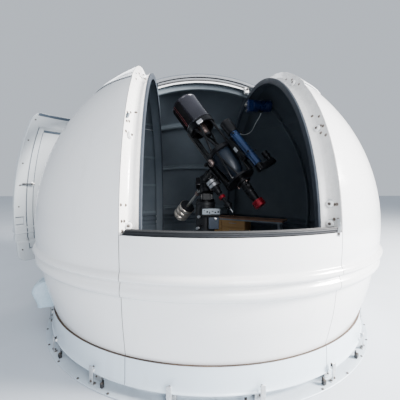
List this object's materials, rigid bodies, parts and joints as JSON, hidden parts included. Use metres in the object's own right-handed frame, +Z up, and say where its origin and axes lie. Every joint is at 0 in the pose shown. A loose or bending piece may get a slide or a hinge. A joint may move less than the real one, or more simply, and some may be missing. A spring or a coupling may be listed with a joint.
{
  "type": "observatory dome",
  "caption": "Rotating glass-fibre observatory dome with an over-the-top slit shutter, side entrance hatch, fixed base ring, and a telescope on a pier inside.",
  "frame": {"origin": "on the ground on the dome's vertical axis, in the middle of the pier's base plate", "axes": "+Z up; the open slit faces -Y and the open hatch is on the -X side"},
  "size_m": [3.6331, 3.173, 2.4644],
  "materials": {
    "shell": "glossy white gel coat",
    "liner": "dark slate paint",
    "channel": "satin",
    "sill": "satin",
    "galvanised": "satin",
    "motor": "satin dark blue",
    "hood": "glossy",
    "door": "satin",
    "pier": "satin",
    "instrument_black": "satin",
    "instrument_blue": "satin",
    "steel": "satin",
    "camera_red": "satin",
    "bench_board": "oiled",
    "drawer_wood": "varnished",
    "leg": "satin",
    "grip": "matte",
    "lead": "white cable sheath"
  },
  "bodies": {
    "base": {"base_ring_1": "galvanised", "base_ring_2": "galvanised", "base_ring_3": "galvanised", "bench_drawers": "drawer_wood", "bench_leg_far": "leg", "bench_leg_near": "leg", "bench_top": "bench_board", "mount_base": "instrument_black", "pier": "pier"},
    "dec_axis": {"camera": "camera_red", "counterweights": "steel", "dovetail_bar": "instrument_black", "focuser": "instrument_black", "guide_bracket": "instrument_black", "guide_telescope": "instrument_blue", "saddle": "instrument_black", "telescope_front_tube": "instrument_black", "telescope_mirror_cell": "instrument_blue", "telescope_truss": "instrument_black"},
    "dome": {"door_hinge_1": "steel", "door_hinge_2": "steel", "front_panel": "shell", "left_channel": "channel", "left_front_shell": "shell", "left_hoop": "shell", "left_rear_shell": "shell", "left_shell_over_door": "shell", "left_skirt_under_door": "shell", "lower_ring_front": "shell", "lower_ring_left": "shell", "lower_ring_rear": "shell", "lower_ring_right": "shell", "motor_cable": "lead", "rear_panel": "shell", "rear_strip": "liner", "right_channel": "channel", "right_front_shell": "shell", "right_hoop": "shell", "right_rear_shell": "shell", "shutter_motor": "motor", "sill": "sill", "vent_hood": "hood"},
    "latch": {"door_latch": "grip"},
    "door": {"door_panel": "door"},
    "ra_axis": {"mount_ra_head": "instrument_black"},
    "shutter": {"shutter": "shell"}
  },
  "joints": [
    {"name": "dome_rotation", "type": "hinge", "parent": "base", "child": "dome", "pos_m": [0, 0, 0.1], "axis": [0, 0, 1], "continuous": true},
    {"name": "shutter_slide", "type": "hinge", "parent": "dome", "child": "shutter", "pos_m": [0, 0, 0.88], "axis": [1, 0, 0], "range_deg": [0, 96]},
    {"name": "door_hinge", "type": "hinge", "parent": "dome", "child": "door", "pos_m": [-1.3856, 0.8, 1], "axis": [0, 0, 1], "range_deg": [-45, 36]},
    {"name": "latch_turn", "type": "hinge", "parent": "door", "child": "latch", "pos_m": [-1.88661, 0.27102, 1.225], "axis": [-0.7771, 0.6293, 0], "range_deg": [-80, 0]},
    {"name": "ra_axis_turn", "type": "hinge", "parent": "base", "child": "ra_axis", "pos_m": [0, 0, 1.24], "axis": [0, 0.6691, 0.7431], "range_deg": [-45, 25]},
    {"name": "dec_axis_turn", "type": "hinge", "parent": "ra_axis", "child": "dec_axis", "pos_m": [0, 0, 1.24], "axis": [0.4067, -0.6789, 0.6113], "range_deg": [-60, 60]}
  ]
}
